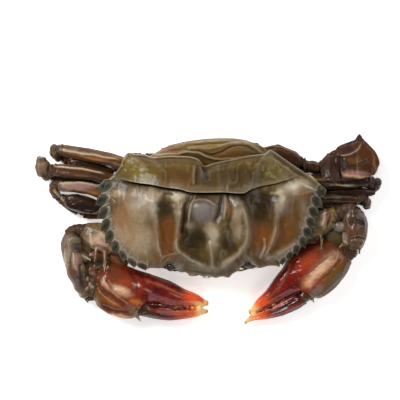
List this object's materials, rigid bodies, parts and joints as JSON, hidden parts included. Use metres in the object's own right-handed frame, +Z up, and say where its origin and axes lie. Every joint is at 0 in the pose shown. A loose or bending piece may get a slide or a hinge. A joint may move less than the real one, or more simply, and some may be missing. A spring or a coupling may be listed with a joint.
{
  "type": "soft-shell mud crab",
  "caption": "Soft-shell mud crab at life size, lying on its belly with its claws folded in front, its walking legs folded at its sides and a swimming paddle spread.",
  "frame": {"origin": "on the floor it lies on, under the centre of its bounding box", "axes": "+X towards the crab's left side, +Y towards its rear, +Z up; the crab faces -Y"},
  "size_m": [0.1392, 0.0766, 0.027],
  "materials": {
    "shell": "wet soft shell, olive brown with pale grey and orange fields, fine mottling",
    "belly": "cream underside, smooth and damp",
    "tergites": "golden brown plates with pale cross bands, wet gloss",
    "arm": "olive and cream with fine freckles, wet gloss",
    "wrist": "purple brown with cream rims, wet gloss",
    "palm": "red fingers and orange tips, olive brown at the back, wet gloss",
    "finger": "maroon and red with a cream tip, wet gloss",
    "leg": "dark brown with pale lengthwise ridges, wet gloss",
    "blade": "amber brown with a violet fold, wet gloss",
    "eye": "lilac grey, glossy",
    "whisker": "thin brown feeler"
  },
  "bodies": {
    "root": {"carapace": "shell", "thorax": "belly", "abdomen_tergites": "tergites", "abdomen_apron": "belly", "telson": "belly", "eye_right": "eye", "antenna_right": "whisker", "maxilliped_right": "belly", "claw_right_arm": "arm", "claw_right_wrist": "wrist", "claw_right_palm": "palm", "claw_right_finger": "finger", "leg1_right_merus": "leg", "leg1_right_carpus": "leg", "leg1_right_propodus": "leg", "leg1_right_dactyl": "leg", "leg2_right_merus": "leg", "leg2_right_carpus": "leg", "leg2_right_propodus": "leg", "leg2_right_dactyl": "leg", "leg3_right_merus": "leg", "leg3_right_carpus": "leg", "leg3_right_propodus": "leg", "leg3_right_dactyl": "leg", "swim_right_merus": "leg", "swim_right_carpus": "leg", "swim_right_propodus": "blade", "swim_right_paddle": "blade", "eye_left": "eye", "antenna_left": "whisker", "maxilliped_left": "belly", "claw_left_arm": "arm", "claw_left_wrist": "wrist", "claw_left_palm": "palm", "claw_left_finger": "finger", "leg1_left_merus": "leg", "leg1_left_carpus": "leg", "leg1_left_propodus": "leg", "leg1_left_dactyl": "leg", "leg2_left_merus": "leg", "leg2_left_carpus": "leg", "leg2_left_propodus": "leg", "leg2_left_dactyl": "leg", "leg3_left_merus": "leg", "leg3_left_carpus": "leg", "leg3_left_propodus": "leg", "leg3_left_dactyl": "leg", "swim_left_merus": "leg", "swim_left_carpus": "leg", "swim_left_propodus": "blade", "swim_left_paddle": "blade"}
  },
  "joints": []
}
